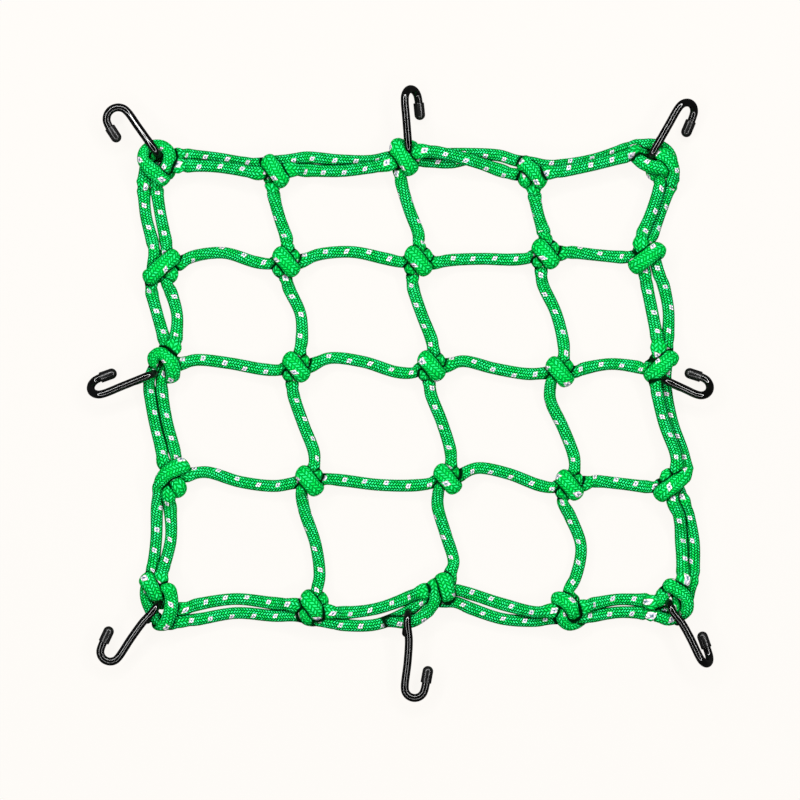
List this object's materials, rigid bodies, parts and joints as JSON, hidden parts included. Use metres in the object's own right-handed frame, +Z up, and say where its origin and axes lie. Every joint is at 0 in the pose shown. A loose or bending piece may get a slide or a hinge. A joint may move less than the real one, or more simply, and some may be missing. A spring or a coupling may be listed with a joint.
{
  "type": "elastic cargo net with hooks",
  "caption": "Square cargo net knotted from green elastic cord, with a doubled rim and black coated wire hooks at its corners and sides, lying flat.",
  "frame": {"origin": "on the surface the net lies on, under the middle of its whole box", "axes": "+Z up from the surface, +Y towards the top edge of the net, +X towards its right edge"},
  "size_m": [0.3266, 0.3215, 0.0167],
  "materials": {
    "cord": "braided elastic cord, green with small white flecks",
    "hook": "glossy black coating on bent wire",
    "tip": "satin black moulded cap"
  },
  "bodies": {
    "root": {"net": "cord", "hook_top_left": "hook", "hook_top_middle": "hook", "hook_top_right": "hook", "hook_left_middle": "hook", "hook_right_middle": "hook", "hook_bottom_left": "hook", "hook_bottom_middle": "hook", "hook_bottom_right": "hook", "tip_top_left": "tip", "tip_top_middle": "tip", "tip_top_right": "tip", "tip_left_middle": "tip", "tip_right_middle": "tip", "tip_bottom_left": "tip", "tip_bottom_middle": "tip", "tip_bottom_right": "tip"}
  },
  "joints": []
}
